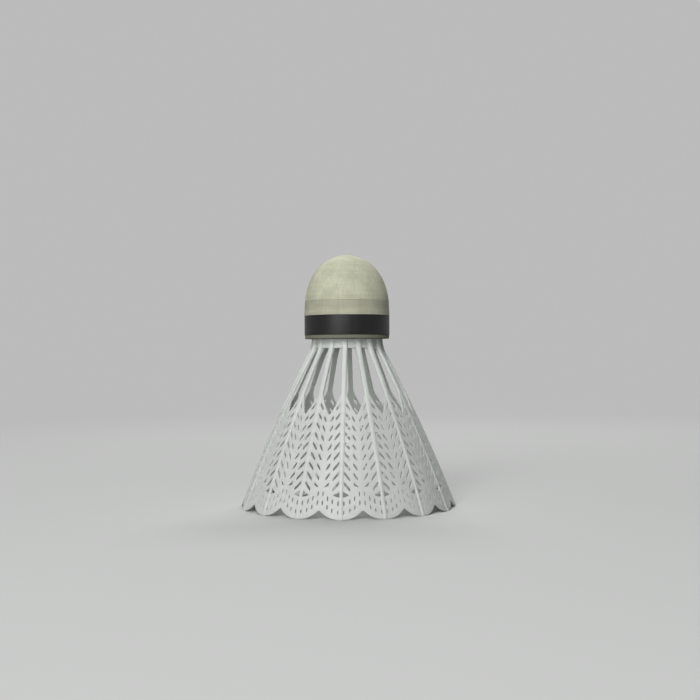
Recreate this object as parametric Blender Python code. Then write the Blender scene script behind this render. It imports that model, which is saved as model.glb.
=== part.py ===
"""Moulded-skirt badminton shuttlecock, head up, standing on the tips of its petals.

Lengths are in millimetres and become metres as the meshes are made. The axis is +Z and
the origin is on it, in the plane of the petal tips. One rib faces -Y.
"""

import math

import bmesh
import bpy

METRES_PER_MM = 0.001

# Overall sizes
OVERALL_HEIGHT = 78.0
HEAD_DIAMETER = 26.5
RIM_DIAMETER = 67.0

# Head: a domed nose glued on a base block that holds the socket
HEAD_HEIGHT = 26.1
NOSE_HEIGHT = 14.5
DOME_HEIGHT = 19.0
DOME_FULLNESS = 2.5
HEAD_EDGE_CHAMFER = 0.5
HEAD_LIP_INSET = 0.15
SOCKET_END_GAP = 0.5
GLUE_LINE = 0.2

# Band: a strip of tape that lies in a shallow groove of the base block
BAND_WIDTH = 6.0
BAND_THICKNESS = 0.3
BAND_SEAT_GAP = 0.3
BAND_SIDE_GAP = 0.15
HEAD_LIP_HEIGHT = 1.0

# Collar, plug and the sleeve of glue round the plug
COLLAR_TOP_RADIUS = 10.4
COLLAR_HEIGHT = 3.0
COLLAR_WALL = 1.2
COLLAR_FLOOR = 1.4
COLLAR_SEAT_GAP = 0.3
PLUG_RADIUS = 7.5
PLUG_WALL = 1.3
PLUG_HEIGHT = 9.0
PLUG_LEAD_IN = 0.6
GLUE_THICKNESS = 0.4
GLUE_CLEARANCE = 0.15
GLUE_HEIGHT = 7.5

# Skirt: a bulging cone of ribs that run from the collar to the rim
RIB_COUNT = 16
CONE_TOP_RADIUS = 10.9
SKIRT_BULGE = 0.8
VANE_WALL = 0.6
RIB_RISE = 0.6
RIB_HALF_WIDTH_TOP = 0.8
RIB_HALF_WIDTH_RIM = 0.45
RIB_CREST_SHARE = 0.7

# Vanes: each rib carries a feather-like sheet with rows of slots and a rounded petal
WINDOW_LENGTH = 13.2
NOTCH_DEPTH = 5.8
NOTCH_POWER = 1.15
TOP_BAR = 2.8
CHEVRON_DROP = 4.8
SLOT_ROWS = 9
SLOT_HEIGHT = 0.95
PETAL_BAND = 9.6
MID_BAR_HALF_WIDTH = 0.45
SCALLOP_DEPTH = 2.7
SCALLOP_POWER = 2.2

# Facets
TURNED_SEGMENTS = 40
DOME_RINGS = 9
WINDOW_STEPS = 3
NOTCH_SHARES = (0.3, 0.65)
SCALLOP_SHARES = (0.4, 0.65, 0.85)
SHARP_ANGLE = math.radians(30)

# Colour and roughness of each material
MATERIALS = {
    "pale_head": ((0.62, 0.60, 0.47), 0.75),
    "greyer_head": ((0.56, 0.54, 0.42), 0.78),
    "black_tape": ((0.015, 0.015, 0.016), 0.3),
    "clear_glue": ((0.75, 0.70, 0.52), 0.35),
    "white_moulding": ((0.80, 0.82, 0.80), 0.4),
}

# Places that follow from the sizes above
HEAD_RADIUS = HEAD_DIAMETER / 2
HEAD_BOTTOM = OVERALL_HEIGHT - HEAD_HEIGHT
NOSE_BOTTOM = OVERALL_HEIGHT - NOSE_HEIGHT
GROOVE_BOTTOM = HEAD_BOTTOM + HEAD_LIP_HEIGHT
GROOVE_TOP = GROOVE_BOTTOM + BAND_WIDTH + 2 * BAND_SIDE_GAP
GROOVE_RADIUS = HEAD_RADIUS - BAND_THICKNESS - BAND_SEAT_GAP
COLLAR_TOP = HEAD_BOTTOM - COLLAR_SEAT_GAP
COLLAR_BOTTOM = COLLAR_TOP - COLLAR_HEIGHT
PLUG_TOP = COLLAR_TOP + PLUG_HEIGHT
SOCKET_RADIUS = PLUG_RADIUS + GLUE_THICKNESS + 2 * GLUE_CLEARANCE
SOCKET_TOP = PLUG_TOP + SOCKET_END_GAP
RIM_RADIUS = RIM_DIAMETER / 2
HALF_PITCH = math.pi / RIB_COUNT
FRONT = -math.pi / 2
VANE_TOP = COLLAR_BOTTOM - WINDOW_LENGTH
NOTCH_BOTTOM = VANE_TOP - NOTCH_DEPTH
FIRST_SLOT_TOP = VANE_TOP - TOP_BAR
ROW_PITCH = (FIRST_SLOT_TOP - SLOT_HEIGHT - PETAL_BAND) / (SLOT_ROWS - 1)


def clear_scene():
    """Removes every object of the scene that the script starts from."""
    for obj in list(bpy.data.objects):
        bpy.data.objects.remove(obj)


def make_material(name):
    """A Principled material with one colour and one roughness."""
    colour, roughness = MATERIALS[name]
    material = bpy.data.materials.new(name)
    material.use_nodes = True
    shader = material.node_tree.nodes["Principled BSDF"]
    shader.inputs["Base Color"].default_value = (*colour, 1.0)
    shader.inputs["Roughness"].default_value = roughness
    shader.inputs["Metallic"].default_value = 0.0
    return material


def finish_object(name, bm, material_name):
    """Turns the faces outwards and links the mesh as a named object with its material."""
    bmesh.ops.recalc_face_normals(bm, faces=bm.faces)
    mesh = bpy.data.meshes.new(name)
    bm.to_mesh(mesh)
    bm.free()
    mesh.shade_smooth()
    mesh.set_sharp_from_angle(angle=SHARP_ANGLE)
    mesh.materials.append(make_material(material_name))
    obj = bpy.data.objects.new(name, mesh)
    bpy.context.scene.collection.objects.link(obj)


def polar(radius, angle, height):
    """A point in metres from its radius, angle and height in millimetres and radians."""
    scale = METRES_PER_MM
    return (radius * math.cos(angle) * scale, radius * math.sin(angle) * scale, height * scale)


def ring_of(bm, radius, height, angles):
    """A ring of vertices, or the single vertex on the axis where the radius is nought."""
    if radius == 0:
        return [bm.verts.new(polar(0, 0, height))]
    return [bm.verts.new(polar(radius, angle, height)) for angle in angles]


def join_rings(bm, lower, upper):
    """Faces between two rings that have as many vertices, or between a ring and a point."""
    count = max(len(lower), len(upper))
    for i in range(count):
        j = (i + 1) % count
        corners = [lower[i % len(lower)], lower[j % len(lower)], upper[j % len(upper)], upper[i % len(upper)]]
        bm.faces.new(list(dict.fromkeys(corners)))


def turn(profile, closed):
    """A mesh of revolution from (radius, height) pairs; a closed profile is a ring's section."""
    angles = [2 * math.pi * i / TURNED_SEGMENTS for i in range(TURNED_SEGMENTS)]
    bm = bmesh.new()
    rings = [ring_of(bm, radius, height, angles) for radius, height in profile]
    pairs = list(zip(rings, rings[1:]))
    if closed:
        pairs.append((rings[-1], rings[0]))
    for lower, upper in pairs:
        join_rings(bm, lower, upper)
    return bm


def dome_radius(height):
    """The head's radius at a height: a superellipse that is full at the dome's foot."""
    left = min(1.0, max(0.0, 1 - (OVERALL_HEIGHT - height) / DOME_HEIGHT))
    return HEAD_RADIUS * math.sqrt(1 - left**DOME_FULLNESS)


def dome_rings(bottom, top, count):
    """(radius, height) pairs on the dome from bottom to top, closer together near the top."""
    steps = [math.sin(math.pi / 2 * i / count) for i in range(count + 1)]
    heights = [bottom + (top - bottom) * step for step in steps]
    return [(dome_radius(height), height) for height in heights]


def make_head_nose():
    """The domed striking end, flat underneath where it is glued to the base block."""
    bottom = NOSE_BOTTOM + GLUE_LINE
    profile = [(0, bottom), *dome_rings(bottom, OVERALL_HEIGHT, DOME_RINGS)[:-1], (0, OVERALL_HEIGHT)]
    finish_object("head_nose", turn(profile, closed=False), "pale_head")


def make_head_base():
    """The base block: it carries the band in a groove and the plug in a blind socket."""
    lip = HEAD_RADIUS - HEAD_LIP_INSET
    profile = [
        (0, SOCKET_TOP),
        (SOCKET_RADIUS, SOCKET_TOP),
        (SOCKET_RADIUS, HEAD_BOTTOM),
        (lip - HEAD_EDGE_CHAMFER, HEAD_BOTTOM),
        (lip, HEAD_BOTTOM + HEAD_EDGE_CHAMFER),
        (lip, GROOVE_BOTTOM),
        (GROOVE_RADIUS, GROOVE_BOTTOM),
        (GROOVE_RADIUS, GROOVE_TOP),
        (dome_radius(GROOVE_TOP), GROOVE_TOP),
        (dome_radius(NOSE_BOTTOM), NOSE_BOTTOM),
        (0, NOSE_BOTTOM),
    ]
    finish_object("head_base", turn(profile, closed=False), "greyer_head")


def make_head_band():
    """The tape, flush with the head's side."""
    bottom = GROOVE_BOTTOM + BAND_SIDE_GAP
    inner = HEAD_RADIUS - BAND_THICKNESS
    profile = [
        (inner, bottom),
        (HEAD_RADIUS, bottom),
        (HEAD_RADIUS, bottom + BAND_WIDTH),
        (inner, bottom + BAND_WIDTH),
    ]
    finish_object("head_band", turn(profile, closed=True), "black_tape")


def make_plug_glue():
    """The sleeve of set glue between the plug and the socket's wall."""
    inner = PLUG_RADIUS + GLUE_CLEARANCE
    profile = [
        (inner, HEAD_BOTTOM),
        (inner + GLUE_THICKNESS, HEAD_BOTTOM),
        (inner + GLUE_THICKNESS, HEAD_BOTTOM + GLUE_HEIGHT),
        (inner, HEAD_BOTTOM + GLUE_HEIGHT),
    ]
    finish_object("plug_glue", turn(profile, closed=True), "clear_glue")


def share_down(height):
    """How far down the skirt a height lies, from 0 at the collar's foot to 1 at the tips."""
    return min(1.0, max(0.0, 1 - height / COLLAR_BOTTOM))


def skirt_radius(height):
    """The outer radius between the ribs: a bulging cone, with the steeper cone of the collar on top."""
    share = share_down(height)
    climb = max(0.0, (height - COLLAR_BOTTOM) / COLLAR_HEIGHT)
    cone = CONE_TOP_RADIUS + (RIM_RADIUS - RIB_RISE - CONE_TOP_RADIUS) * share
    bulge = SKIRT_BULGE * 4 * share * (1 - share)
    return cone + bulge + (COLLAR_TOP_RADIUS - CONE_TOP_RADIUS) * climb


def rib_half_angle(height):
    """Half the angle that a rib's foot takes, from its width at that height."""
    half_width = RIB_HALF_WIDTH_TOP + (RIB_HALF_WIDTH_RIM - RIB_HALF_WIDTH_TOP) * share_down(height)
    return half_width / skirt_radius(height)


def slot_lines():
    """Heights at the rib of the top and bottom lines of each row of slots, from the top down."""
    tops = [FIRST_SLOT_TOP - row * ROW_PITCH for row in range(SLOT_ROWS)]
    return [height for top in tops for height in (top, top - SLOT_HEIGHT)]


def rib_centre(rib):
    """The angle of a rib's axis."""
    return FRONT + 2 * HALF_PITCH * rib


def gap_beside(rib, side):
    """The number of the gap between two ribs that lies on one side of a rib."""
    return rib if side > 0 else (rib - 1) % RIB_COUNT


def foot_name(side):
    """The name of a rib's foot on one side."""
    return "foot+" if side > 0 else "foot-"


class SkirtMesh:
    """Two skins of the skirt, an outer and an inner one, made face by face over the same outline.

    A vertex is known by a key, so that neighbouring faces share it. Each run of the outline
    that only one face uses gets walls between the skins.
    """

    def __init__(self):
        self.bm = bmesh.new()
        self.verts = {}
        self.places = {}

    def place(self, key, angle, height, rise=0.0):
        """Notes where a point of the outline lies and how far its outer skin stands proud."""
        self.places[key] = (angle, height, rise)
        return key

    def vert(self, key, outer):
        """The vertex of one skin at a noted point."""
        if (key, outer) not in self.verts:
            angle, height, rise = self.places[key]
            wall = COLLAR_WALL if height >= COLLAR_BOTTOM else VANE_WALL
            radius = skirt_radius(height) + rise if outer else skirt_radius(height) - wall
            self.verts[key, outer] = self.bm.verts.new(polar(radius, angle, height))
        return self.verts[key, outer]

    def outer_face(self, *keys):
        """A face of the outer skin."""
        self.bm.faces.new([self.vert(key, True) for key in keys])

    def inner_face(self, *keys):
        """A face of the inner skin, turned the other way."""
        self.bm.faces.new([self.vert(key, False) for key in reversed(keys)])

    def both(self, *keys):
        """The same face on both skins."""
        self.outer_face(*keys)
        self.inner_face(*keys)

    def wall(self, *keys):
        """The walls between the skins along a run of outline points."""
        for a, b in zip(keys, keys[1:]):
            self.bm.faces.new([self.vert(k, o) for k, o in ((a, True), (b, True), (b, False), (a, False))])


def rib_row(skirt, rib, tag, height):
    """Four points across a rib at one height: foot, crest, crest, foot."""
    foot = rib_half_angle(height)
    crest = foot * RIB_CREST_SHARE
    points = [
        ("foot-", -foot, 0.0),
        ("crest-", -crest, RIB_RISE),
        ("crest+", crest, RIB_RISE),
        ("foot+", foot, 0.0),
    ]
    return [
        skirt.place((rib, tag, name), rib_centre(rib) + offset, height, rise)
        for name, offset, rise in points
    ]


def rib_faces(skirt, upper, lower):
    """The crest and flanks of a rib on the outer skin, and the strip behind it on the inner skin."""
    for a, b in ((0, 1), (1, 2), (2, 3)):
        skirt.outer_face(upper[a], upper[b], lower[b], lower[a])
    skirt.inner_face(upper[0], upper[3], lower[3], lower[0])


def slot_row(skirt, rib, side, line, height):
    """The points of one slot line on one side of a rib: foot, slot end and middle line."""
    foot = rib_half_angle(height)
    end = HALF_PITCH - MID_BAR_HALF_WIDTH / skirt_radius(height - CHEVRON_DROP)
    drop = CHEVRON_DROP * (end - foot) / (HALF_PITCH - foot)
    middle = rib_centre(rib) + side * HALF_PITCH
    return [
        (rib, line, foot_name(side)),
        skirt.place((rib, line, "end", side), rib_centre(rib) + side * end, height - drop),
        skirt.place((gap_beside(rib, side), line, "middle"), middle, height - CHEVRON_DROP),
    ]


def notch_edge(skirt, rib, side):
    """The upper edge of half a vane, from its tip beside the rib down to the notch's bottom."""
    foot = rib_half_angle(VANE_TOP)
    keys = [(rib, "tip", foot_name(side))]
    for share in NOTCH_SHARES:
        angle = rib_centre(rib) + side * (foot + (HALF_PITCH - foot) * share)
        height = NOTCH_BOTTOM + NOTCH_DEPTH * (1 - share) ** NOTCH_POWER
        keys.append(skirt.place((rib, "notch", side, share), angle, height))
    middle = rib_centre(rib) + side * HALF_PITCH
    keys.append(skirt.place((gap_beside(rib, side), "notch", "middle"), middle, NOTCH_BOTTOM))
    return keys


def petal_edge(skirt, rib, side):
    """The scalloped lower edge of half a petal, from the rib's foot to the middle line."""
    keys = [(rib, "rim", foot_name(side))]
    for share in SCALLOP_SHARES:
        angle = rib_centre(rib) + side * share * HALF_PITCH
        height = SCALLOP_DEPTH * share**SCALLOP_POWER
        keys.append(skirt.place((rib, "rim", side, share), angle, height))
    middle = rib_centre(rib) + side * HALF_PITCH
    keys.append(skirt.place((gap_beside(rib, side), "rim", "middle"), middle, SCALLOP_DEPTH))
    return keys


def vane_faces(skirt, rib, side, lines):
    """One half of a vane: its notched top, the slots with bars between them, and the petal."""
    rows = [slot_row(skirt, rib, side, line, height) for line, height in enumerate(lines)]
    top = notch_edge(skirt, rib, side)
    bottom = petal_edge(skirt, rib, side)
    skirt.both(*top, *reversed(rows[0]))
    skirt.wall(*top)
    for line, (upper, lower) in enumerate(zip(rows, rows[1:])):
        skirt.both(upper[1], upper[2], lower[2], lower[1])
        if line % 2:
            skirt.both(upper[0], upper[1], lower[1], lower[0])
        else:
            skirt.wall(upper[0], upper[1], lower[1], lower[0], upper[0])
    skirt.both(*rows[-1], *reversed(bottom))
    skirt.wall(*bottom)


def add_rib_and_vane(skirt, rib, lines):
    """One rib from the collar to the rim, with both halves of its vane."""
    window_heights = [COLLAR_BOTTOM - WINDOW_LENGTH * i / WINDOW_STEPS for i in range(WINDOW_STEPS)]
    window_rows = [rib_row(skirt, rib, ("window", i), height) for i, height in enumerate(window_heights)]
    window_rows.append(rib_row(skirt, rib, "tip", VANE_TOP))
    slot_rows = [rib_row(skirt, rib, line, height) for line, height in enumerate(lines)]
    rows = [*window_rows, *slot_rows, rib_row(skirt, rib, "rim", 0.0)]
    for upper, lower in zip(rows, rows[1:]):
        rib_faces(skirt, upper, lower)
    for upper, lower in zip(window_rows, window_rows[1:]):
        skirt.wall(upper[0], lower[0])
        skirt.wall(upper[3], lower[3])
    for side in (-1, 1):
        vane_faces(skirt, rib, side, lines)
    rib_end(skirt, rows[-1])


def rib_end(skirt, row):
    """The flat foot of a rib on which the shuttlecock stands."""
    corners = [skirt.vert(key, True) for key in row]
    skirt.bm.faces.new([*corners, skirt.vert(row[3], False), skirt.vert(row[0], False)])


def collar_ring_keys(skirt, tag, height):
    """Points round the collar in order: foot, foot and middle line of each rib."""
    foot = rib_half_angle(COLLAR_BOTTOM)
    keys = []
    for rib in range(RIB_COUNT):
        keys.append(skirt.place((rib, tag, "foot-"), rib_centre(rib) - foot, height))
        keys.append(skirt.place((rib, tag, "foot+"), rib_centre(rib) + foot, height))
        keys.append(skirt.place((rib, tag, "middle"), rib_centre(rib) + HALF_PITCH, height))
    return keys


def add_collar_side(skirt, low, high):
    """The collar's outer side: plain between the ribs, and running out into each rib's crest."""
    count = len(low)
    for i in range(count):
        j = (i + 1) % count
        if i % 3:
            skirt.outer_face(high[i], high[j], low[j], low[i])
            skirt.wall(low[i], low[j])
    for rib in range(RIB_COUNT):
        foot_low, foot_high = low[3 * rib : 3 * rib + 2], high[3 * rib : 3 * rib + 2]
        crest = [(rib, ("window", 0), name) for name in ("crest-", "crest+")]
        skirt.outer_face(foot_high[0], crest[0], foot_low[0])
        skirt.outer_face(foot_high[0], foot_high[1], crest[1], crest[0])
        skirt.outer_face(foot_high[1], foot_low[1], crest[1])


def add_collar(skirt):
    """The collar above the windows, with its floor and the hollow plug that stands on it."""
    low = collar_ring_keys(skirt, ("window", 0), COLLAR_BOTTOM)
    high = collar_ring_keys(skirt, "collar", COLLAR_TOP)
    add_collar_side(skirt, low, high)
    angles = [skirt.places[key][0] for key in high]
    outer_ring = [skirt.vert(key, True) for key in high]
    inner_ring = [skirt.vert(key, False) for key in low]
    plug_profile = [
        (PLUG_RADIUS, COLLAR_TOP),
        (PLUG_RADIUS, PLUG_TOP - PLUG_LEAD_IN),
        (PLUG_RADIUS - PLUG_LEAD_IN, PLUG_TOP),
        (PLUG_RADIUS - PLUG_WALL, PLUG_TOP),
        (PLUG_RADIUS - PLUG_WALL, COLLAR_TOP),
    ]
    plug_rings = [ring_of(skirt.bm, radius, height, angles) for radius, height in plug_profile]
    roof_radius = skirt_radius(COLLAR_BOTTOM) - COLLAR_WALL
    roof = ring_of(skirt.bm, roof_radius, COLLAR_TOP - COLLAR_FLOOR, angles)
    for lower, upper in zip([outer_ring, *plug_rings], plug_rings):
        join_rings(skirt.bm, lower, upper)
    join_rings(skirt.bm, inner_ring, roof)
    skirt.bm.faces.new(plug_rings[-1])
    skirt.bm.faces.new(roof)


def make_skirt():
    """The one-piece moulding: plug, collar, ribs, vanes and petals."""
    skirt = SkirtMesh()
    lines = slot_lines()
    for rib in range(RIB_COUNT):
        add_rib_and_vane(skirt, rib, lines)
    add_collar(skirt)
    finish_object("skirt", skirt.bm, "white_moulding")


def main():
    """Makes the five pieces in an empty scene."""
    clear_scene()
    make_head_nose()
    make_head_base()
    make_head_band()
    make_plug_glue()
    make_skirt()


main()
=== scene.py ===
# %% [markdown]
# A moulded badminton shuttlecock is a domed cork-like head, a strip of black tape round it, and
# one white moulding that copies a ring of feathers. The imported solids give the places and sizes.
# Each piece here is a finer surface that stands for its solid, worked out with numpy from a
# formula, because a formula is easy to read and to change. The object's own lengths are written in
# millimetres and turned into metres when they go into a mesh. The stage and the lamps are in metres.

# %% Load the frame
import math

import bmesh
import bpy
import numpy as np
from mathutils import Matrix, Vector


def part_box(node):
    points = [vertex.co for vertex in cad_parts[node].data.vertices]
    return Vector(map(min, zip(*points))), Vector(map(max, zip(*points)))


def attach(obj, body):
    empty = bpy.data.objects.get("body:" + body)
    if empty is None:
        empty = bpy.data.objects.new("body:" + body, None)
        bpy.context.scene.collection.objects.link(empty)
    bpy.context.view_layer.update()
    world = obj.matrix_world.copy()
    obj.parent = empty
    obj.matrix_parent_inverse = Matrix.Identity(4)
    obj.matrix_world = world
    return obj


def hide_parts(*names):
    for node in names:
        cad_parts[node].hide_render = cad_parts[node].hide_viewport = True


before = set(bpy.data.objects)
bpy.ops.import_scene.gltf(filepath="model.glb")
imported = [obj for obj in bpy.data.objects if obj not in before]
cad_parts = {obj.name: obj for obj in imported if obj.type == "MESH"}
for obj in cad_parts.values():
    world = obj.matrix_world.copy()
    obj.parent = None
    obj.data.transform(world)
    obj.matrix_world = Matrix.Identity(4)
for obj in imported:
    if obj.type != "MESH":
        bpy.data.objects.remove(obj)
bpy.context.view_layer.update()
MM = 0.001
boxes = {name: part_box(name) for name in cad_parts}
print("nodes:", sorted(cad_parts))

# %% [markdown]
# The camera comes first, at the photograph's viewing angle. A pinhole camera was fitted to the rim
# and the ribs: it is level, a little below the collar, rolled by a third of a degree, and turned a few
# degrees so that the front rib shows left of the middle.

# %% Camera at the photograph's viewing angle
IMAGE_SIDE = 700
FOCAL_PIXELS = 1150
SENSOR_MM = 36
CAMERA_DISTANCE = 358.6 * MM
CAMERA_HEIGHT = 46.0 * MM
CAMERA_AZIMUTH = math.radians(3.7)
CAMERA_ROLL = math.radians(0.35)
AXIS_PIXEL_X = 347.2
HORIZON_PIXEL_Y = 357.8
NEAREST_SEEN = 10 * MM

lens = bpy.data.cameras.new("photo_camera")
lens.sensor_width = SENSOR_MM
lens.lens = SENSOR_MM * FOCAL_PIXELS / IMAGE_SIDE
lens.shift_x = (IMAGE_SIDE / 2 - AXIS_PIXEL_X) / IMAGE_SIDE
lens.shift_y = (HORIZON_PIXEL_Y - IMAGE_SIDE / 2) / IMAGE_SIDE
lens.clip_start = NEAREST_SEEN
camera = bpy.data.objects.new("photo_camera", lens)
camera.location = (
    CAMERA_DISTANCE * math.sin(CAMERA_AZIMUTH),
    -CAMERA_DISTANCE * math.cos(CAMERA_AZIMUTH),
    CAMERA_HEIGHT,
)
camera.rotation_euler = (math.pi / 2, CAMERA_ROLL, CAMERA_AZIMUTH)
bpy.context.scene.collection.objects.link(camera)
bpy.context.scene.camera = camera
print("lens", round(lens.lens, 1), "mm at", round(CAMERA_DISTANCE / MM), "mm")

# %% [markdown]
# The shuttlecock stands on a plain pale floor that curves up into a backdrop. The floor is one
# profile, flat and then a quarter circle and then upright, carried along X. Like every surface
# here it is a grid of points, so the two functions that turn a grid into a mesh come with it.

# %% Functions for grids of points
def grid_faces(rows, columns, wrap=False):
    """Corner numbers of the quads of a grid that is stored row by row, or of a closed ring of columns."""
    row = np.arange(rows - 1)[:, None]
    column = np.arange(columns if wrap else columns - 1)[None, :]
    right = (column + 1) % columns
    corners = [row * columns + column, row * columns + right, (row + 1) * columns + right]
    corners.append((row + 1) * columns + column)
    return np.stack(np.broadcast_arrays(*corners), axis=-1).reshape(-1, 4)


def mesh_object(name, points, faces):
    """An object whose mesh has these points, in metres, and these quads."""
    mesh = bpy.data.meshes.new(name)
    mesh.from_pydata(np.asarray(points).reshape(-1, 3).tolist(), [], np.asarray(faces).tolist())
    mesh.update()
    obj = bpy.data.objects.new(name, mesh)
    bpy.context.scene.collection.objects.link(obj)
    return obj


print("a grid of 3 by 3 points has", len(grid_faces(3, 3)), "quads")

# %% Floor and backdrop
STAGE_HALF_WIDTH = 1.6
STAGE_FRONT = -1.4
STAGE_BACK = 0.55
STAGE_BEND = 0.35
STAGE_TOP = 1.5
STAGE_STEPS = 24


def stage_profile():
    """(y, z) pairs: straight along the floor, a quarter circle of STAGE_BEND, straight up."""
    turn = np.linspace(0, np.pi / 2, STAGE_STEPS)
    bend = np.stack([STAGE_BACK + STAGE_BEND * np.sin(turn), STAGE_BEND * (1 - np.cos(turn))], axis=1)
    first = [[STAGE_FRONT, 0.0]]
    last = [[STAGE_BACK + STAGE_BEND, STAGE_TOP]]
    return np.concatenate([first, bend, last])


stage_line = stage_profile()
stage_points = np.empty((len(stage_line), 2, 3))
stage_points[..., 0] = [-STAGE_HALF_WIDTH, STAGE_HALF_WIDTH]
stage_points[..., 1:] = stage_line[:, None, :]
backdrop = mesh_object("backdrop", stage_points, grid_faces(len(stage_line), 2))
backdrop.data.shade_smooth()
print("backdrop faces:", len(backdrop.data.polygons))

# %% [markdown]
# The brightest side of the head faces the viewer's left and the top, so the key lamp is large, high
# and a little left of the camera. A low lamp beside it draws the soft upright glare on the tape. A
# wide lamp behind lights the far side, because the shuttlecock is looked at from all round. A lamp's
# power is worked out from its level, so that the levels read as shares of white.

# %% Soft studio light
LAMP_AIM = np.array([0.0, 0.0, 0.04])


def area_lamp(name, azimuth, elevation, distance, width, height, level):
    """A lamp that faces the shuttlecock from a direction in degrees, azimuth 0 being the front.

    At distance d a power P gives a white surface that faces the lamp the level P / (pi d)^2.
    """
    lamp = bpy.data.lights.new(name, "AREA")
    lamp.shape = "RECTANGLE"
    lamp.size = width
    lamp.size_y = height
    lamp.energy = level * (math.pi * distance) ** 2
    turn = math.radians(azimuth)
    tilt = math.radians(elevation)
    way = np.array([math.cos(tilt) * math.sin(turn), -math.cos(tilt) * math.cos(turn), math.sin(tilt)])
    obj = bpy.data.objects.new(name, lamp)
    obj.location = LAMP_AIM + distance * way
    obj.rotation_euler = (math.pi / 2 - tilt, 0.0, turn)
    obj.visible_camera = False
    bpy.context.scene.collection.objects.link(obj)


area_lamp("key_lamp", azimuth=-11, elevation=37, distance=1.06, width=0.5, height=0.5, level=0.56)
area_lamp("low_lamp", azimuth=-21.5, elevation=5, distance=1.0, width=0.4, height=0.4, level=0.28)
area_lamp("back_lamp", azimuth=176, elevation=52, distance=0.98, width=0.9, height=0.3, level=0.55)
bpy.context.scene.view_settings.view_transform = "Standard"

# %% [markdown]
# Materials are built from nodes. Writing node maths as plain Python makes it short: a small class
# wraps a socket, so that a * b + c adds the Math nodes for it. A second class holds a material's
# nodes and makes any other node. Colours are mixed and vectors are scaled with their own nodes,
# because a Math node would turn a colour grey.

# %% Arithmetic on sockets
class Value:
    """A node's output socket with arithmetic."""

    def __init__(self, paint, socket):
        self.paint = paint
        self.socket = socket

    def maths(self, operation, *values):
        """The output of a Math node that works on these values."""
        return self.paint.node("ShaderNodeMath", {"operation": operation}, dict(enumerate(values)))

    def __add__(self, other):
        return self.maths("ADD", self, other)

    __radd__ = __add__

    def __sub__(self, other):
        return self.maths("SUBTRACT", self, other)

    def __rsub__(self, other):
        return self.maths("SUBTRACT", other, self)

    def __mul__(self, other):
        return self.maths("MULTIPLY", self, other)

    __rmul__ = __mul__

    def __truediv__(self, other):
        return self.maths("DIVIDE", self, other)

    def __rtruediv__(self, other):
        return self.maths("DIVIDE", other, self)


print("sockets have arithmetic through:", Value.__name__)

# %% The nodes of a finish
SEEING_RAYS = ("Camera", "Glossy", "Transmission")


class Paint:
    """The nodes of one material, or of the world, and the shader that they feed."""

    def __init__(self, owner, shader="Principled BSDF"):
        self.owner = owner
        owner.use_nodes = True
        self.tree = owner.node_tree
        self.shader = self.tree.nodes[shader]

    def node(self, kind, settings=None, inputs=None, output=0):
        """Adds a node, sets its settings and then its sockets, and gives one output."""
        made = self.tree.nodes.new(kind)
        for key, value in (settings or {}).items():
            setattr(made, key, value)
        for key, value in (inputs or {}).items():
            self.put(made.inputs[key], value)
        return Value(self, made.outputs[output])

    def put(self, socket, value):
        """Links a Value to a socket, or sets a plain number or colour on it."""
        if isinstance(value, Value):
            self.tree.links.new(value.socket, socket)
        else:
            socket.default_value = value

    def set(self, **sockets):
        """Sets the shader's sockets by name, with _ for a blank."""
        for key, value in sockets.items():
            self.put(self.shader.inputs[key.replace("_", " ")], value)

    def coordinates(self):
        """Object coordinates in metres, which are the shuttlecock's own."""
        return self.node("ShaderNodeTexCoord", output="Object")

    def stretched(self, vector, scale):
        """A vector times another, part by part."""
        return self.node("ShaderNodeVectorMath", {"operation": "MULTIPLY"}, {0: vector, 1: scale})

    def noise(self, vector, scale=1.0, detail=3.0, roughness=0.5):
        """Smooth noise from 0 to 1, with about as many waves to a metre as the scale says."""
        inputs = {"Vector": vector, "Scale": scale, "Detail": detail, "Roughness": roughness}
        return self.node("ShaderNodeTexNoise", {}, inputs, "Fac")

    def spread(self, value, low, high):
        """Stretches the part of a value between low and high over 0 to 1, smoothly."""
        settings = {"interpolation_type": "SMOOTHSTEP"}
        return self.node("ShaderNodeMapRange", settings, {"Value": value, "From Min": low, "From Max": high})

    def mix(self, factor, first, second):
        """The first colour where the factor is 0 and the second where it is 1.

        A Mix node keeps sockets for every kind of data, and its colours are inputs 6 and 7 and output 2.
        """
        return self.node("ShaderNodeMix", {"data_type": "RGBA"}, {0: factor, 6: first, 7: second}, 2)

    def bump(self, height, strength, distance):
        """Links a height to the surface's normal, with its depth in metres."""
        inputs = {"Height": height, "Strength": strength, "Distance": distance}
        self.put(self.shader.inputs["Normal"], self.node("ShaderNodeBump", {}, inputs, "Normal"))

    def seen(self):
        """1 on rays that show the background to the camera, also mirrored, and 0 on rays of light."""
        return sum(self.node("ShaderNodeLightPath", output=f"Is {ray} Ray") for ray in SEEING_RAYS)


def rgb(red, green, blue):
    """A colour for a socket, from linear values."""
    return (red, green, blue, 1.0)


def grey(level):
    """A colour for a socket with the same level in each part."""
    return rgb(level, level, level)


print("rays that see the background:", SEEING_RAYS)

# %% [markdown]
# The world is the light that comes from everywhere. It is weak, so that the lamps shape the object,
# but where the camera looks past the floor it shows as pale as the floor does.

# %% The world
WORLD_LEVEL = 0.08
SKY_LEVEL = 0.5

world = bpy.data.worlds.new("studio")
bpy.context.scene.world = world
sky = Paint(world, "Background")
sky.set(Color=sky.mix(sky.seen(), grey(WORLD_LEVEL), grey(SKY_LEVEL)), Strength=1.0)
print("world level:", WORLD_LEVEL)

# %% [markdown]
# The head is turned on a lathe from pale cork-like stock, in two layers that are glued together: a
# domed nose on a base block. A lathe makes surfaces of revolution, so one function carries a
# profile of radius and height round the axis. A real edge is never quite sharp, so another function
# rounds the corners of a profile.

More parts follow.
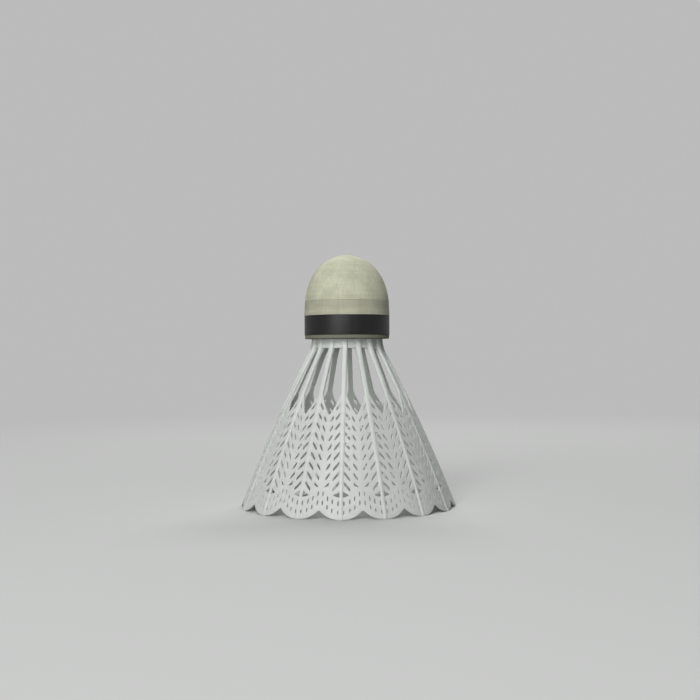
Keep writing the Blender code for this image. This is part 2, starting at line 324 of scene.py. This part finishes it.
# %% Functions for turned pieces
TURNED_STEPS = 160
ARC_STEPS = 5
SHARP_ANGLE = math.radians(38)
MERGE_DISTANCE = 1e-7
turned_angles = np.arange(TURNED_STEPS) * 2 * np.pi / TURNED_STEPS


def closed_body(obj):
    """Merges points that coincide, turns the faces outwards and shades the mesh smoothly."""
    bm = bmesh.new()
    bm.from_mesh(obj.data)
    bmesh.ops.remove_doubles(bm, verts=bm.verts, dist=MERGE_DISTANCE)
    bmesh.ops.recalc_face_normals(bm, faces=bm.faces)
    bm.to_mesh(obj.data)
    bm.free()
    obj.data.shade_smooth()
    obj.data.set_sharp_from_angle(angle=SHARP_ANGLE)
    return obj


def turned(name, profile, radius_change=0.0):
    """Carries a closed profile of (radius, height) pairs round Z: (r cos a, r sin a, h), in mm.

    The change is added to the radius and may depend on the angle. Points that meet on the axis are
    merged, which closes the poles.
    """
    radius = profile[:, :1] + radius_change
    height = np.broadcast_to(profile[:, 1:], (len(profile), TURNED_STEPS))
    points = np.stack([radius * np.cos(turned_angles), radius * np.sin(turned_angles), height], axis=-1) * MM
    faces = grid_faces(len(profile), TURNED_STEPS, wrap=True)
    return closed_body(mesh_object(name, points, faces))


def rounded(corners, eases):
    """A polyline of (radius, height) corners whose inner corners are eased into arcs.

    At a corner c the arc is the quadratic curve (1-t)^2 a + 2t(1-t) c + t^2 b, where a and b lie on
    the two sides at the ease's distance from c.
    """
    corners = np.asarray(corners, dtype=float)
    t = np.linspace(0, 1, ARC_STEPS)[:, None]
    runs = [corners[:1]]
    for before, corner, after, ease in zip(corners, corners[1:], corners[2:], eases):
        a = corner + (before - corner) * ease / np.linalg.norm(before - corner)
        b = corner + (after - corner) * ease / np.linalg.norm(after - corner)
        runs.append((1 - t) ** 2 * a + 2 * t * (1 - t) * corner + t**2 * b)
    runs.append(corners[-1:])
    return np.concatenate(runs)


def heights_of(node):
    """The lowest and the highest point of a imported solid, in mm."""
    return boxes[node][0][2] / MM, boxes[node][1][2] / MM


print("turned pieces take", TURNED_STEPS, "steps round the axis")

# %% [markdown]
# The nose is a dome that is fuller than half a ball: its square root has a power of 2.5 in it where
# a ball's has 2. Its rings are closer together near the top, where the dome turns fastest.

# %% Nose
DOME_HEIGHT = 19.0
DOME_FULLNESS = 2.5
DOME_RINGS = 56
JOINT_EASE = 0.05

head_radius = boxes["head_band"][1][0] / MM
base_low, base_high = heights_of("head_base")
nose_high = heights_of("head_nose")[1]


def dome_radius(height):
    """R sqrt(1 - s^2.5), where s runs from 0 at the dome's foot to 1 at the top."""
    share = np.clip(1 - (nose_high - height) / DOME_HEIGHT, 0, 1)
    return head_radius * np.sqrt(1 - share**DOME_FULLNESS)


def nose_profile():
    """Across the flat joint, round its edge, and up the dome, in steps of a sine."""
    low = base_high + JOINT_EASE / 2
    steps = np.sin(np.linspace(0, np.pi / 2, DOME_RINGS))
    heights = low + JOINT_EASE + (nose_high - low - JOINT_EASE) * steps
    dome = np.stack([dome_radius(heights), heights], axis=1)
    dome[-1, 0] = 0.0
    joint = [[0.0, low], [dome_radius(low) - JOINT_EASE, low]]
    return np.concatenate([joint, dome])


nose = turned("head_nose_turned", nose_profile())
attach(nose, "root")
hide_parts("head_nose")
print("nose from", round(base_high, 1), "to", round(nose_high, 1), "mm")

# %% [markdown]
# The base block goes on from the dome's foot. It has a shallow groove for the tape, an eased lip
# under it, and a blind socket for the skirt's plug. All of that is one profile.

# %% Base block
SOCKET_RADIUS = 8.2
SOCKET_DEPTH = 9.2
SOCKET_EASES = [0.1, 0.2]
LIP_INSET = 0.15
LIP_EASE = 0.2
GROOVE_DEPTH = 0.6
GROOVE_MARGIN = 0.05
GROOVE_EASES = [0.08, 0.05, 0.05, 0.08]

band_low, band_high = heights_of("head_band")


def base_profile():
    """Socket, flat underside, eased lip, groove for the tape, and the foot of the dome."""
    lip = head_radius - LIP_INSET
    groove = head_radius - GROOVE_DEPTH
    groove_low, groove_high = band_low - GROOVE_MARGIN, band_high + GROOVE_MARGIN
    corners = [
        [0.0, base_low + SOCKET_DEPTH],
        [SOCKET_RADIUS, base_low + SOCKET_DEPTH],
        [SOCKET_RADIUS, base_low],
        [lip, base_low],
        [lip, groove_low],
        [groove, groove_low],
        [groove, groove_high],
        [head_radius, groove_high],
        [dome_radius(base_high), base_high],
        [0.0, base_high],
    ]
    return rounded(corners, SOCKET_EASES + [LIP_EASE] + GROOVE_EASES + [JOINT_EASE])


base = turned("head_base_turned", base_profile())
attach(base, "root")
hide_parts("head_base")
print("base block from", round(base_low, 1), "to", round(base_high, 1), "mm")

# %% [markdown]
# The band is a strip of black tape, wound once round the base block with its end stuck down over
# its start. The radius grows slowly as the upper layer climbs over the start, and drops at once at
# the cut end, which is at the back.

# %% Tape band
TAPE_LAYER = 0.1
TAPE_INSET = 0.02
TAPE_CLEARANCE = 0.05
TAPE_EASE = 0.06
TAPE_INNER_EASE = 0.02
OVERLAP_END = math.radians(100)
OVERLAP_RAMP = math.radians(28)


def tape_rise(angles):
    """The layer's thickness times a smooth ramp p^2 (3 - 2p) that ends in a step at the cut end."""
    before = (OVERLAP_END - angles) % (2 * np.pi)
    ramp = np.clip(1 - before / OVERLAP_RAMP, 0, 1)
    return TAPE_LAYER * ramp**2 * (3 - 2 * ramp)


def band_profile():
    """A rectangle with eased edges, as a closed run of (radius, height) pairs."""
    inner = head_radius - GROOVE_DEPTH + TAPE_CLEARANCE
    outer = head_radius - TAPE_INSET
    middle = (band_low + band_high) / 2
    corners = [[inner, middle], [inner, band_low], [outer, band_low], [outer, band_high]]
    corners += [[inner, band_high], [inner, middle]]
    return rounded(corners, [TAPE_INNER_EASE, TAPE_EASE, TAPE_EASE, TAPE_INNER_EASE])


tape = turned("head_band_tape", band_profile(), tape_rise(turned_angles))
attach(tape, "root")
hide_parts("head_band")
print("tape from", round(band_low, 1), "to", round(band_high, 1), "mm")

# %% [markdown]
# The skirt is one white moulding: a collar, sixteen ribs and sixteen feather-shaped vanes. A vane
# is a thin sheet with rows of slots that slant down from its rib like the barbs of a feather, and
# two rows of small upright slots near the scalloped hem. Cutting more than a thousand slots one by
# one would be slow and rough. Instead the whole skirt is one grid of cells round the axis, and a
# slot is a cell that is left open. The grid's lines slant and curve, so the cells already have the
# slots' shapes. The skirt's overall form comes first: a cone that bulges a little.

# %% The skirt's form
RIBS = 16
HALF_PITCH = np.pi / RIBS
CREST_TOP_RADIUS = 11.0
CREST_FOOT_RADIUS = 11.3
CONE_BULGE = 0.9
COLLAR_FOOT = 49.0
COLLAR_GAP = 0.05
VANE_TIP = 35.4
RIB_RISES = (0.6, 0.25)

rim_radius = boxes["skirt"][1][0] / MM
collar_top = base_low - COLLAR_GAP


def share_down(height):
    """From 0 at the collar's foot to 1 at the tips of the petals."""
    return np.clip(1 - height / COLLAR_FOOT, 0, 1)


def rib_rise(height):
    """How far a rib stands out: it falls steadily from the collar to the vanes' tips, and then stays."""
    share = np.clip((COLLAR_FOOT - height) / (COLLAR_FOOT - VANE_TIP), 0, 1)
    return RIB_RISES[0] + (RIB_RISES[1] - RIB_RISES[0]) * share


def skirt_radius(height):
    """The radius of the skin between the ribs, which is that of the ribs' crests less their rise.

    The crests lie on a cone with a bulge of CONE_BULGE 4 s (1 - s), where s is the share of the way
    down, and on a steeper cone along the collar.
    """
    share = share_down(height)
    climb = np.clip((height - COLLAR_FOOT) / (collar_top - COLLAR_FOOT), 0, 1)
    cone = CREST_FOOT_RADIUS + (rim_radius - CREST_FOOT_RADIUS) * share
    crest = cone + CONE_BULGE * 4 * share * (1 - share) + (CREST_TOP_RADIUS - CREST_FOOT_RADIUS) * climb
    return crest - rib_rise(height)


halfway_radius = float(skirt_radius(COLLAR_FOOT / 2))
print("skin radius", round(halfway_radius, 2), "mm halfway down, rim radius", round(rim_radius, 2), "mm")

# %% [markdown]
# The two halves of a vane mirror each other, so only the half from a rib to the middle line between
# two ribs is laid out. Its columns are a list of shares of the way across, chosen so that each slot
# starts and ends on one. The ribs keep a width in millimetres, so the columns fan out down the skirt.

# %% The grid's columns across half a vane
RIB_HALF_WIDTHS = (0.85, 0.45)
CREST_SHARE = 0.78
SHARES = np.array([0.0, 0.03, 0.095, 0.33, 0.392, 0.578, 0.64, 0.838, 0.9, 1.0])

# The rib's axis, the edge of its crest and its foot are columns 0, 1 and 2.
FOOT = 2
rib_part = np.concatenate([[0.0, CREST_SHARE], np.ones(len(SHARES))])
vane_part = np.concatenate([np.zeros(FOOT), SHARES])
half_cells = len(vane_part) - 1


def across(heights):
    """Places from the rib, 0, to the middle line between two ribs, 1, with columns on the last axis.

    The first three columns take shares of the rib's width, and the rest share out what is left.
    """
    half_width = RIB_HALF_WIDTHS[0] + (RIB_HALF_WIDTHS[1] - RIB_HALF_WIDTHS[0]) * share_down(heights)
    foot = half_width / (skirt_radius(heights) * HALF_PITCH)
    return foot * rib_part + (1 - foot) * vane_part


print("cells across half a vane:", half_cells)

# %% [markdown]
# Down a vane, pairs of lines bound the rows of slots. A line zigzags: it falls across the inner slot,
# climbs across the bar between two slots, and falls again across the outer slot, so the slots slant
# like barbs. Further down the slots fall more steeply, and the outer ones sit higher.

# %% Lines of the slots
INNER_SLOT = [3, 4, 5]
OUTER_SLOT = [7, 8]
FIRST_SLOT = 31.53
SLOT_PITCH = 2.81
SLOT_HEIGHT = 0.9
SLOT_ROWS = 10
SLOT_DROPS = (1.5, 2.2)
OUTER_DROP_SHARE = 0.85
OUTER_LAGS = (0.9, -0.13)


def slot_lines():
    """Top and bottom lines of each row of slots, with the last bottom line left to the hem.

    A line lies half a drop above its row at a slot's inner end and half a drop below it at the outer
    end, with straight runs between. The outer slot drops a little less, and hangs lower by its lag.
    """
    row = np.linspace(0, 1, SLOT_ROWS)[:, None]
    drop = SLOT_DROPS[0] + (SLOT_DROPS[1] - SLOT_DROPS[0]) * row
    lag = OUTER_LAGS[0] + (OUTER_LAGS[1] - OUTER_LAGS[0]) * row
    ends = np.array([INNER_SLOT[0], INNER_SLOT[-1] + 1, OUTER_SLOT[0], OUTER_SLOT[-1] + 1])
    outer_drop = drop * OUTER_DROP_SHARE
    turns = np.concatenate([drop / 2, -drop / 2, outer_drop / 2 - lag, -outer_drop / 2 - lag], axis=1)
    zigzag = np.stack([np.interp(vane_part, vane_part[ends], turn) for turn in turns])
    middle = FIRST_SLOT - SLOT_PITCH * np.arange(SLOT_ROWS)[:, None] + zigzag
    lines = np.stack([middle + SLOT_HEIGHT / 2, middle - SLOT_HEIGHT / 2], axis=1)
    return lines.reshape(2 * SLOT_ROWS, -1)[:-1]


print("slot lines:", len(slot_lines()))

# %% [markdown]
# Above the slots, the open windows between the ribs end in the vanes' pointed tops. Below them, the
# hem's lines curve up from each rib, more and more like the scallops of the rim. The slots' lines are
# pressed between the two, so that lines never cross.

# %% Lines of the windows, the tops and the hem
WINDOW_LINES = 6
VANE_NOTCH = 29.1
NOTCH_POWER = 1.15
HEM_LINES = np.array([6.1, 5.1, 3.6, 2.6, 1.32, 0.0])
HEM_RISES = np.array([3.5, 3.5, 3.5, 3.5, 3.4, 2.7])
HEM_POWERS = np.array([1.9, 1.9, 1.9, 1.9, 2.0, 2.35])
LEAST_STEP = 0.12


def notch_line():
    """The vane's top edge: the notch's height plus (1 - u)^1.15 of the way up to the rib."""
    return VANE_NOTCH + (VANE_TIP - VANE_NOTCH) * (1 - vane_part) ** NOTCH_POWER


def hem_lines():
    """Each hem line rises from the rib by its rise times u to its power."""
    rim = np.where(vane_part > 0, across(np.zeros(len(vane_part))), 0.0)
    return HEM_LINES[:, None] + HEM_RISES[:, None] * rim ** HEM_POWERS[:, None]


def line_heights():
    """All lines from the collar down, with the slots' lines kept between the notch and the hem."""
    notch, slots, hem = notch_line(), slot_lines(), hem_lines()
    order = np.arange(1, len(slots) + 1)[:, None]
    slots = np.minimum(slots, notch - LEAST_STEP * order)
    slots = np.maximum(slots, hem[0] + LEAST_STEP * order[::-1])
    ribs = np.linspace(COLLAR_FOOT, VANE_TIP, WINDOW_LINES, endpoint=False)
    ribs = np.concatenate([[collar_top], ribs])[:, None] * np.ones(len(vane_part))
    return np.concatenate([ribs, notch[None], slots, hem])


half_heights = line_heights()
print("lines down a vane:", len(half_heights))

# %% [markdown]
# Now each cell is either full or open. The windows, the slots, the holes beside the rib above the hem
# and the small upright slots in the hem are open, and everything else is full.

# %% Which cells are full
RIB_SIDE_HOLE = [2, 3, 4]
HEM_SLOTS = [3, 5, 7, 9]

first_slot_row = WINDOW_LINES + 2
first_hem_row = first_slot_row + 2 * SLOT_ROWS - 1


def full_cells():
    """One row per pair of lines and one column per cell of half a vane: True where it is full."""
    cells = np.ones((len(half_heights) - 1, half_cells), dtype=bool)
    cells[1 : WINDOW_LINES + 1, FOOT:] = False
    slot_rows = first_slot_row + 2 * np.arange(SLOT_ROWS)
    cells[np.ix_(slot_rows[:-1], INNER_SLOT)] = False
    cells[np.ix_(slot_rows[1:-1], OUTER_SLOT)] = False
    cells[slot_rows[-1], RIB_SIDE_HOLE] = False
    cells[np.ix_([first_hem_row + 1, first_hem_row + 3], HEM_SLOTS)] = False
    return cells


half_full = full_cells()
vane_full = np.concatenate([half_full[:, ::-1], half_full], axis=1)
full = np.tile(vane_full, (1, RIBS))
print("full cells:", int(full.sum()), "of", full.size)

# %% [markdown]
# The half vane is mirrored about its rib and repeated round the axis, which gives the angle and the
# height of every point. The outer skin follows the cone and rises at the ribs. The inner skin lies one
# wall below it, and the wall is thicker at the collar.

# %% Points of the two skins
COLLAR_WALL = 1.2
VANE_WALL = 0.55
COLLAR_LINES = 2


def around(half, sign):
    """Half a vane's values, mirrored about the rib, for all the vanes: the last line is shared."""
    vane = np.concatenate([sign * half[:, :0:-1], half[:, :-1]], axis=1)
    return np.tile(vane, (1, RIBS))


def skin(radius, angle, height):
    """(r cos a, r sin a, h) in metres."""
    return np.stack([radius * np.cos(angle), radius * np.sin(angle), height], axis=-1) * MM


heights = around(half_heights, 1)
rib_axes = -np.pi / 2 + 2 * HALF_PITCH * np.repeat(np.arange(RIBS), 2 * half_cells)
angles = around(across(half_heights), -1) * HALF_PITCH + rib_axes
on_crest = np.where(np.arange(half_cells + 1) < FOOT, 1.0, 0.0) * np.ones((len(half_heights), 1))
rise = rib_rise(heights) * around(on_crest, 1)
wall = np.where(np.arange(len(heights)) < COLLAR_LINES, COLLAR_WALL, VANE_WALL)[:, None]
outer = skin(skirt_radius(heights) + rise, angles, heights)
inner = skin(skirt_radius(heights) - wall, angles, heights)
print("points in each skin:", outer.shape[0] * outer.shape[1])

# %% [markdown]
# Each full cell gets an outer and an inner face, and a wall goes up wherever a full cell meets an open
# one. Comparing the table of cells with itself, shifted by one, finds all those edges at once.

# %% Faces and walls
def skirt_faces():
    """Quads of both skins on the full cells, then of the walls where full cells end, and their number."""
    rows, columns = full.shape
    count = (rows + 1) * columns
    cells = grid_faces(rows + 1, columns, wrap=True).reshape(rows, columns, 4)[full]
    number = np.arange(count).reshape(rows + 1, columns)
    padded = np.pad(full, ((1, 1), (0, 0)))
    ends_down = padded[1:] != padded[:-1]
    ends_side = full != np.roll(full, 1, axis=1)
    across_edges = np.stack([number, np.roll(number, -1, axis=1)], axis=-1)[ends_down]
    down_edges = np.stack([number[:-1], number[1:]], axis=-1)[ends_side]
    edges = np.concatenate([across_edges, down_edges])
    walls = np.concatenate([edges, edges[:, ::-1] + count], axis=1)
    return np.concatenate([cells, cells[:, ::-1] + count, walls]), len(walls)


faces, wall_count = skirt_faces()
points = np.concatenate([outer.reshape(-1, 3), inner.reshape(-1, 3)])
used, faces = np.unique(faces, return_inverse=True)
faces = faces.reshape(-1, 4)
skirt = closed_body(mesh_object("skirt_lattice", points[used], faces))
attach(skirt, "root")
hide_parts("skirt")
print("skirt quads before rounding:", len(faces))

# %% [markdown]
# One level of subdivision rounds the skirt as a mould does. On its own it would turn the slots into
# ovals and make the walls too soft, so the edges of the walls get a crease that holds them part way.
# The collar's upper end stays sharp, because it butts against the head.

# %% Moulded edges
EDGE_SHARPNESS = 0.6


def wall_edges(walls):
    """The two edges of each wall that lie on the skins, as pairs of points."""
    return np.concatenate([walls[:, :2], walls[:, 2:]])


def sharpen(obj, creases):
    """Gives each edge the sum of the creases, listed as (pairs of points, sharpness), that name its ends."""
    mesh = obj.data
    ends = np.empty(2 * len(mesh.edges), dtype=np.int32)
    mesh.edges.foreach_get("vertices", ends)
    total = len(mesh.vertices)
    keys = np.sort(ends.reshape(-1, 2), axis=1) @ [total, 1]
    named = [np.isin(keys, np.sort(pairs, axis=1) @ [total, 1]) * sharpness for pairs, sharpness in creases]
    crease = mesh.attributes.new("crease_edge", "FLOAT", "EDGE")
    crease.data.foreach_set("value", sum(named))


walls = faces[-wall_count:]
collar_walls = walls[: full.shape[1]]
sharpen(skirt, [(wall_edges(walls), EDGE_SHARPNESS), (wall_edges(collar_walls), 1 - EDGE_SHARPNESS)])
rounding = skirt.modifiers.new("moulded_edges", "SUBSURF")
rounding.levels = rounding.render_levels = 1
print("walls with creased edges:", wall_count)

# %% [markdown]
# Inside the head, out of sight, the moulding goes on as a floor across the collar and a hollow
# plug that is glued into the socket. Both are turned shapes, and one profile makes them.

# %% Floor and plug
FLOOR_THICKNESS = 1.4
FLOOR_SEAT = 0.15
PLUG_RADIUS = 7.5
PLUG_WALL = 1.3
PLUG_EASES = [0.05, 0.05, 0.3, 0.4, 0.1, 0.3]

plug_top = heights_of("skirt")[1]


def plug_profile():
    """Underside of the floor, its rim, its top, and the plug's outer wall, end and bore."""
    edge = float(skirt_radius(COLLAR_FOOT)) - COLLAR_WALL + FLOOR_SEAT
    floor = collar_top - FLOOR_THICKNESS
    bore = PLUG_RADIUS - PLUG_WALL
    corners = [[0, floor], [edge, floor], [edge, collar_top], [PLUG_RADIUS, collar_top]]
    corners += [[PLUG_RADIUS, plug_top], [bore, plug_top], [bore, collar_top], [0, collar_top]]
    return rounded(corners, PLUG_EASES)


plug = turned("collar_floor_plug", plug_profile())
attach(plug, "root")
print("plug top at", round(plug_top, 1), "mm")

# %% [markdown]
# The head's stock is pale and dull, like cork. It is cloudy, its fibres run along the axis, and the
# lathe leaves short faint scratches round it. Each of these is noise of its own size and stretch.
# The stock is darker near the joint, where glue has seeped in, and the lip under the tape is darkened
# with painted shade.

# %% Finish of the head
CLOUD_SCALE = 230.0
FIBRE_SCALES = (1500.0, 1500.0, 150.0)
SCRATCH_SCALES = (110.0, 110.0, 1500.0)
PORE_SCALE = 2300.0
PORE_STRENGTH = 0.25
STAIN_AND_SHADE_RAGGEDNESS = 1.2
# One dark colour serves the glue stains, the pores and the painted shade on the lip.
STAIN_AND_SHADE_COLOUR = rgb(0.21, 0.21, 0.165)
NOSE_STAIN = 0.12
NOSE_SOAK = 2.2
BASE_STAIN = 0.22
BASE_SOAK = (3.2, 1.6)
# The lip under the tape is darkened with painted shade.
LIP_PAINTED_SHADE = 1.0
LIP_SHADE_SPAN = (1.0, 0.9)
NOSE_COLOURS = (rgb(0.56, 0.565, 0.42), rgb(0.68, 0.69, 0.515))
BASE_COLOURS = (rgb(0.50, 0.50, 0.375), rgb(0.61, 0.615, 0.46))


def head_paint(name, colours, stains_and_shade):
    """Pale turned stock: clouds, fibres, scratches, pores, and stains.

    The shade that runs between the two colours is a weighted sum of clouds, fibres and scratches.
    Stains and bands of painted shade each have a strength, and grow smoothly from nothing at one
    height to full at another, in mm.
    """
    paint = Paint(bpy.data.materials.new(name))
    here = paint.coordinates()
    height = paint.node("ShaderNodeSeparateXYZ", {}, {0: here}, "Z") / MM
    clouds = paint.noise(here, scale=CLOUD_SCALE)
    fibres = paint.noise(paint.stretched(here, FIBRE_SCALES), detail=4.0, roughness=0.6)
    scratches = paint.noise(paint.stretched(here, SCRATCH_SCALES), roughness=0.6)
    pores = paint.spread(paint.noise(here, scale=PORE_SCALE, detail=2.0), low=0.64, high=0.74)
    shade = clouds * 0.4 + fibres * 0.35 + scratches * 0.25
    colour = paint.mix(paint.spread(shade, low=0.38, high=0.62), *colours)
    colour = paint.mix(pores * PORE_STRENGTH, colour, STAIN_AND_SHADE_COLOUR)
    ragged = height + (clouds - 0.5) * STAIN_AND_SHADE_RAGGEDNESS
    # Glue stains are the stock's own colour; the lip's darkening under the tape is painted shade.
    for strength, clear, soaked_and_shaded in stains_and_shade:
        colour = paint.mix(paint.spread(ragged, clear, soaked_and_shaded) * strength, colour, STAIN_AND_SHADE_COLOUR)
    paint.set(Base_Color=colour, Roughness=0.64 + fibres * 0.2, Specular_IOR_Level=0.3)
    paint.bump(fibres * 0.6 + scratches * 0.3 - pores * 0.5, strength=0.5, distance=0.1 * MM)
    return paint.owner


nose_stains = [(NOSE_STAIN, base_high + NOSE_SOAK, base_high)]
base_stains_and_shade = [
    (BASE_STAIN, base_high - BASE_SOAK[0], base_high - BASE_SOAK[1]),
    # Painted shade on the lip under the tape.
    (LIP_PAINTED_SHADE, band_low + LIP_SHADE_SPAN[0], base_low + LIP_SHADE_SPAN[1]),
]
nose_finish = head_paint("pale_turned_stock", NOSE_COLOURS, nose_stains)
base_finish = head_paint("greyer_turned_stock", BASE_COLOURS, base_stains_and_shade)
for piece, finish, slot in ((nose, nose_finish, "pale_head"), (base, base_finish, "greyer_head")):
    piece.data.materials.append(finish)
print("head finishes:", nose_finish.name, base_finish.name)

# %% [markdown]
# The tape has a soft gloss. It was pulled tight over fibres, so its gloss breaks into upright
# streaks. Stretched noise moves both the roughness and, by a few hundredths of a millimetre, the
# surface, and a little dust has settled on it.

# %% Finish of the tape
STREAK_SCALES = (700.0, 700.0, 40.0)
DUST_SCALE = 2600.0
DUST_STRENGTH = 0.15
DUST_COLOUR = rgb(0.10, 0.10, 0.09)
TAPE_COLOURS = (rgb(0.004, 0.005, 0.004), rgb(0.009, 0.010, 0.009))


def tape_paint():
    """Black tape with upright streaks in its roughness and a slight waviness."""
    paint = Paint(bpy.data.materials.new("black_gloss_tape"))
    here = paint.coordinates()
    streaks = paint.noise(paint.stretched(here, STREAK_SCALES), detail=4.0, roughness=0.65)
    dust = paint.spread(paint.noise(here, scale=DUST_SCALE, detail=2.0), low=0.62, high=0.75)
    colour = paint.mix(paint.spread(streaks, low=0.4, high=0.7), *TAPE_COLOURS)
    colour = paint.mix(dust * DUST_STRENGTH, colour, DUST_COLOUR)
    paint.set(Base_Color=colour, Roughness=0.34 + streaks * 0.24, Specular_IOR_Level=0.4)
    paint.bump(streaks, strength=0.6, distance=0.06 * MM)
    return paint.owner


tape.data.materials.append(tape_paint())
print("tape finish:", tape.data.materials[0].name)

# %% [markdown]
# The moulding is white plastic, a little cool and a little see-through, so some light goes through
# its thin walls. Flow in the mould leaves faint clouds along the vanes, and the surface is satin.

# %% Finish of the moulding
FLOW_SCALES = (150.0, 150.0, 45.0)
GRAIN_SCALE = 2200.0
MOULDING_COLOURS = (rgb(0.745, 0.785, 0.745), rgb(0.805, 0.845, 0.80))


def moulding_paint():
    """Cool white satin plastic with faint flow clouds and a fine grain."""
    paint = Paint(bpy.data.materials.new("white_satin_moulding"))
    here = paint.coordinates()
    flow = paint.noise(paint.stretched(here, FLOW_SCALES))
    grain = paint.noise(here, scale=GRAIN_SCALE, detail=2.0)
    colour = paint.mix(paint.spread(flow, low=0.35, high=0.65), *MOULDING_COLOURS)
    paint.set(Base_Color=colour, Roughness=0.42 + flow * 0.14, Specular_IOR_Level=0.4)
    paint.set(Subsurface_Weight=0.6, Subsurface_Scale=2 * MM, Subsurface_Radius=(1.0, 1.0, 0.95))
    paint.bump(grain * 0.5 + flow, strength=0.3, distance=0.05 * MM)
    return paint.owner


moulding_finish = moulding_paint()
for piece in (skirt, plug):
    piece.data.materials.append(moulding_finish)
print("moulding finish:", moulding_finish.name)

# %% [markdown]
# The glue lies inside the socket and can't be seen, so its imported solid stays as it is. It still
# gets a finish of its own: a dull amber that is cloudy with small bubbles.

# %% Finish of the glue
BUBBLE_SCALE = 1400.0
GLUE_COLOURS = (rgb(0.62, 0.52, 0.30), rgb(0.80, 0.75, 0.58))


def glue_paint():
    """Cloudy amber glue with pale bubbles."""
    paint = Paint(bpy.data.materials.new("cloudy_amber_glue"))
    noise = paint.noise(paint.coordinates(), scale=BUBBLE_SCALE, detail=2.0)
    bubbles = paint.spread(noise, low=0.55, high=0.7)
    paint.set(Base_Color=paint.mix(bubbles, *GLUE_COLOURS), Roughness=0.3 + bubbles * 0.2)
    return paint.owner


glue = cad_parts["plug_glue"]
glue.data.materials.clear()
glue.data.materials.append(glue_paint())
print("glue finish:", glue.data.materials[0].name)

# %% [markdown]
# The floor is pale where it is seen, and darker in the light that it throws back, so that the skirt
# keeps some shade underneath. The lamps stand close and leave the far floor dim. There the floor
# shows the sky's level instead of its lit colour, so that it stays pale in every view.

# %% Finish of the floor
FLOOR_CLOUD_SCALE = 3.0
FLOOR_COLOURS = (rgb(0.66, 0.67, 0.66), rgb(0.70, 0.71, 0.70))
THROWN_BACK = 0.26
LIT_FLOOR = 0.25
FAR_FLOOR = 0.7


def floor_paint():
    """A matt sweep: lit within LIT_FLOOR metres of the shuttlecock, at the sky's level past FAR_FLOOR."""
    paint = Paint(bpy.data.materials.new("pale_sweep"))
    here = paint.coordinates()
    seen = paint.seen()
    clouds = paint.noise(here, scale=FLOOR_CLOUD_SCALE, detail=2.0)
    lit = paint.mix(seen, grey(THROWN_BACK), paint.mix(clouds, *FLOOR_COLOURS))
    distance = paint.node("ShaderNodeVectorMath", {"operation": "LENGTH"}, {0: here}, "Value")
    far = seen * paint.spread(distance, LIT_FLOOR, FAR_FLOOR)
    paint.set(Base_Color=paint.mix(far, lit, grey(0.0)), Roughness=0.9, Specular_IOR_Level=0.0)
    paint.set(Emission_Color=paint.mix(far, grey(0.0), grey(SKY_LEVEL)), Emission_Strength=1.0)
    return paint.owner


backdrop.data.materials.append(floor_paint())
print("floor finish:", backdrop.data.materials[0].name)
